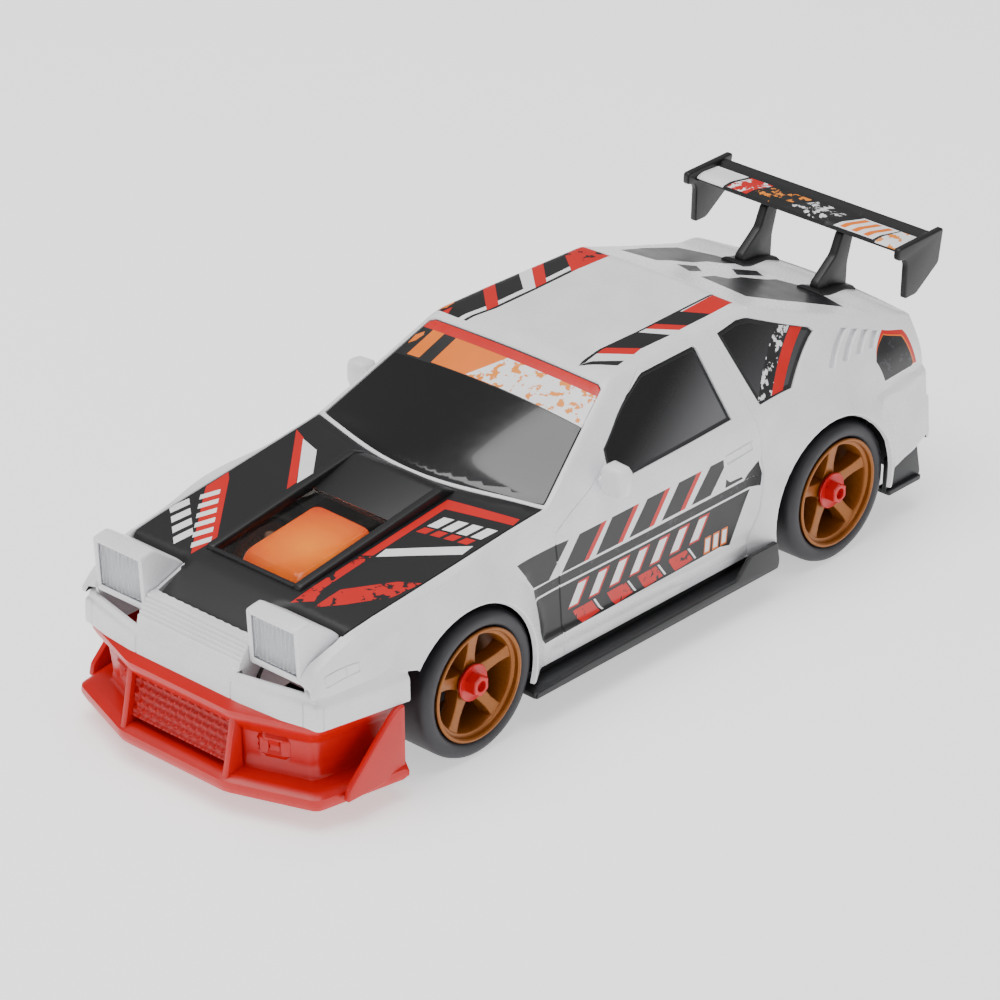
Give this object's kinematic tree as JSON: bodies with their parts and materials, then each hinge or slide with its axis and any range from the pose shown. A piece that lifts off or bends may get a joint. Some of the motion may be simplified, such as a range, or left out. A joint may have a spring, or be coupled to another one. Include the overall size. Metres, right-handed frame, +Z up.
{
  "type": "rc drift car",
  "caption": "Radio-controlled drift coupe with a hollow body shell, clear hood window, pop-up headlamps, steered front wheels, geared rear axle and raised rear wing.",
  "frame": {"origin": "on the ground, at the centre of the whole car's length and width", "axes": "front is -Y, the car's left side is +X, +Z up"},
  "size_m": [0.1092, 0.29, 0.0894],
  "materials": {
    "body_white": "glossy",
    "trim_black": "satin",
    "clear_pane": "glossy",
    "orange_clear": "glossy",
    "board_green": "satin",
    "smoke_glass": "glossy",
    "lamp_lens": "glossy",
    "bumper_red": "satin",
    "skirt_grey": "satin",
    "lamp_red": "glossy",
    "chassis_black": "satin",
    "steel": "satin",
    "cell_wrap": "glossy",
    "gear_nylon": "satin",
    "brass": "satin",
    "rim_bronze": "satin",
    "tyre": "satin"
  },
  "bodies": {
    "car": {"body_shell": "body_white", "mirror_l": "body_white", "mirror_r": "body_white", "hood_panel": "trim_black", "wing_blade": "trim_black", "wing_endplates": "trim_black", "wing_stand_l": "trim_black", "wing_stand_r": "trim_black", "hood_window": "clear_pane", "engine_cover": "orange_clear", "light_board": "board_green", "circuit_board": "board_green", "windshield": "smoke_glass", "side_window_l": "smoke_glass", "side_window_r": "smoke_glass", "quarter_window_l": "smoke_glass", "quarter_window_r": "smoke_glass", "front_bumper": "bumper_red", "side_skirt_l": "skirt_grey", "side_skirt_r": "skirt_grey", "rear_winglets": "skirt_grey", "tail_lamps": "lamp_red", "chassis": "chassis_black", "battery_door": "chassis_black", "gearbox": "chassis_black", "steering_servo": "chassis_black", "chassis_screws": "steel", "door_screw": "steel", "kingpins": "steel", "motor": "steel", "battery_pack": "cell_wrap", "rear_bushes": "brass"},
    "headlamp_l": {"headlamp_pod_l": "body_white", "headlamp_lens_l": "lamp_lens"},
    "headlamp_r": {"headlamp_pod_r": "body_white", "headlamp_lens_r": "lamp_lens"},
    "steering_knuckle_l": {"knuckle_l": "chassis_black"},
    "steering_knuckle_r": {"knuckle_r": "chassis_black"},
    "front_wheel_l": {"tyre_front_l": "tyre", "rim_front_l": "rim_bronze", "nut_front_l": "bumper_red"},
    "front_wheel_r": {"tyre_front_r": "tyre", "rim_front_r": "rim_bronze", "nut_front_r": "bumper_red"},
    "steering_rod": {"tie_rod": "chassis_black"},
    "steering_horn": {"servo_horn": "gear_nylon"},
    "rear_wheels": {"rear_axle": "steel", "tyre_rear_l": "tyre", "rim_rear_l": "rim_bronze", "nut_rear_l": "bumper_red", "tyre_rear_r": "tyre", "rim_rear_r": "rim_bronze", "nut_rear_r": "bumper_red", "spur_gear": "gear_nylon"},
    "motor_rotor": {"motor_shaft": "steel", "pinion": "brass"},
    "switch_slider": {"power_switch": "gear_nylon"},
    "steering_trim": {"trim_dial": "chassis_black"}
  },
  "joints": [
    {"name": "headlamp_l_fold", "type": "hinge", "parent": "car", "child": "headlamp_l", "pos_m": [0.0308, -0.1197, 0.0504], "axis": [1, 0, 0], "range_deg": [0, 55]},
    {"name": "headlamp_r_fold", "type": "hinge", "parent": "car", "child": "headlamp_r", "pos_m": [-0.0308, -0.1197, 0.0504], "axis": [1, 0, 0], "range_deg": [0, 55]},
    {"name": "steer_l", "type": "hinge", "parent": "car", "child": "steering_knuckle_l", "pos_m": [0.035, -0.0735, 0.0229], "axis": [0, 0, 1], "range_deg": [-18, 18]},
    {"name": "steer_r", "type": "hinge", "parent": "car", "child": "steering_knuckle_r", "pos_m": [-0.035, -0.0735, 0.0229], "axis": [0, 0, 1], "range_deg": [-18.5, 18.5]},
    {"name": "tie_rod_slide", "type": "slide", "parent": "car", "child": "steering_rod", "axis": [1, 0, 0], "range_m": [-0.0045, 0.0045]},
    {"name": "servo_horn_turn", "type": "hinge", "parent": "car", "child": "steering_horn", "pos_m": [0, -0.0685, 0.028], "axis": [0, 0, 1], "range_deg": [-28.5, 28.5]},
    {"name": "front_wheel_l_spin", "type": "hinge", "parent": "steering_knuckle_l", "child": "front_wheel_l", "pos_m": [0.0418, -0.0735, 0.0229], "axis": [1, 0, 0], "continuous": true},
    {"name": "front_wheel_r_spin", "type": "hinge", "parent": "steering_knuckle_r", "child": "front_wheel_r", "pos_m": [-0.0418, -0.0735, 0.0229], "axis": [1, 0, 0], "continuous": true},
    {"name": "rear_axle_spin", "type": "hinge", "parent": "car", "child": "rear_wheels", "pos_m": [0, 0.0865, 0.0229], "axis": [1, 0, 0], "continuous": true},
    {"name": "pinion_spin", "type": "hinge", "parent": "car", "child": "motor_rotor", "pos_m": [0.01, 0.0726, 0.0229], "axis": [1, 0, 0], "continuous": true},
    {"name": "power_switch_slide", "type": "slide", "parent": "car", "child": "switch_slider", "axis": [0, 1, 0], "range_m": [0, 0.005]},
    {"name": "steering_trim_turn", "type": "hinge", "parent": "car", "child": "steering_trim", "pos_m": [0, -0.0495, 0.008], "axis": [0, 0, 1], "range_deg": [-45, 45]}
  ],
  "couplings": [
    {"joint": "steer_r", "follows": "steer_l", "ratio": 1},
    {"joint": "tie_rod_slide", "follows": "steer_l", "m_per_rad": -0.014},
    {"joint": "servo_horn_turn", "follows": "steer_l", "ratio": 1.5556},
    {"joint": "pinion_spin", "follows": "rear_axle_spin", "ratio": -3.6}
  ]
}
